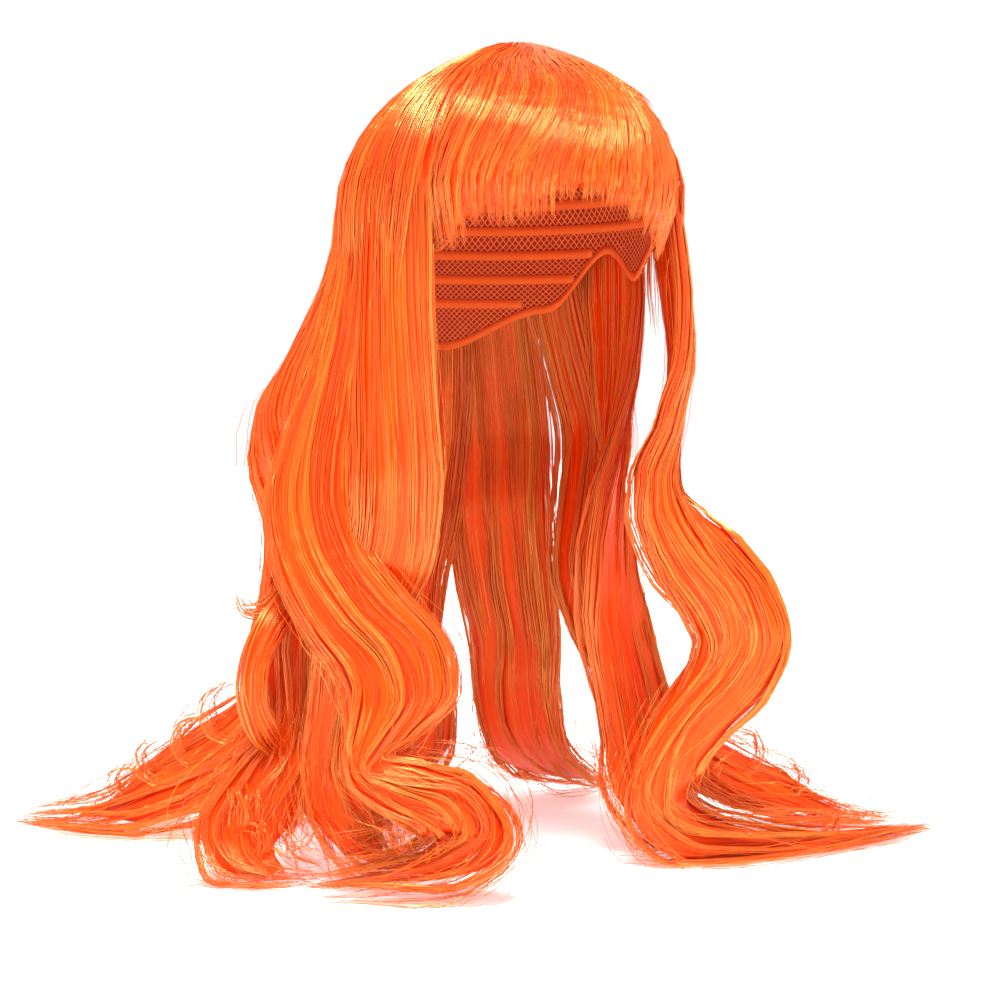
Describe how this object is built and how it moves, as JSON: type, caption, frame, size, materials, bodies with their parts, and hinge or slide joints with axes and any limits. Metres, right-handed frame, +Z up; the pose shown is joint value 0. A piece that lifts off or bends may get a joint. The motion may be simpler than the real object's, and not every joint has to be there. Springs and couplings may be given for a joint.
{
  "type": "long costume wig",
  "caption": "Long waved costume wig with a full fringe, sewn to an open net cap, in the form it has when worn on a head.",
  "frame": {"origin": "inside top of the cap, where it sits on the top of the head", "axes": "+Z up, the face looks along -Y, +X is the wearer's left"},
  "size_m": [0.5014, 0.3795, 0.481],
  "materials": {
    "wig_cap": "open net with rows of sewn hair",
    "hair": "glossy synthetic fibre, vivid orange"
  },
  "bodies": {
    "root": {"cap": "wig_cap", "crown_hair": "hair", "fringe": "hair", "right_side_tress": "hair", "right_front_tress": "hair", "right_back_tress": "hair", "left_front_tress": "hair", "left_side_tress": "hair", "left_back_tress": "hair", "back_right_tress": "hair", "back_left_tress": "hair", "back_tress": "hair"}
  },
  "joints": []
}
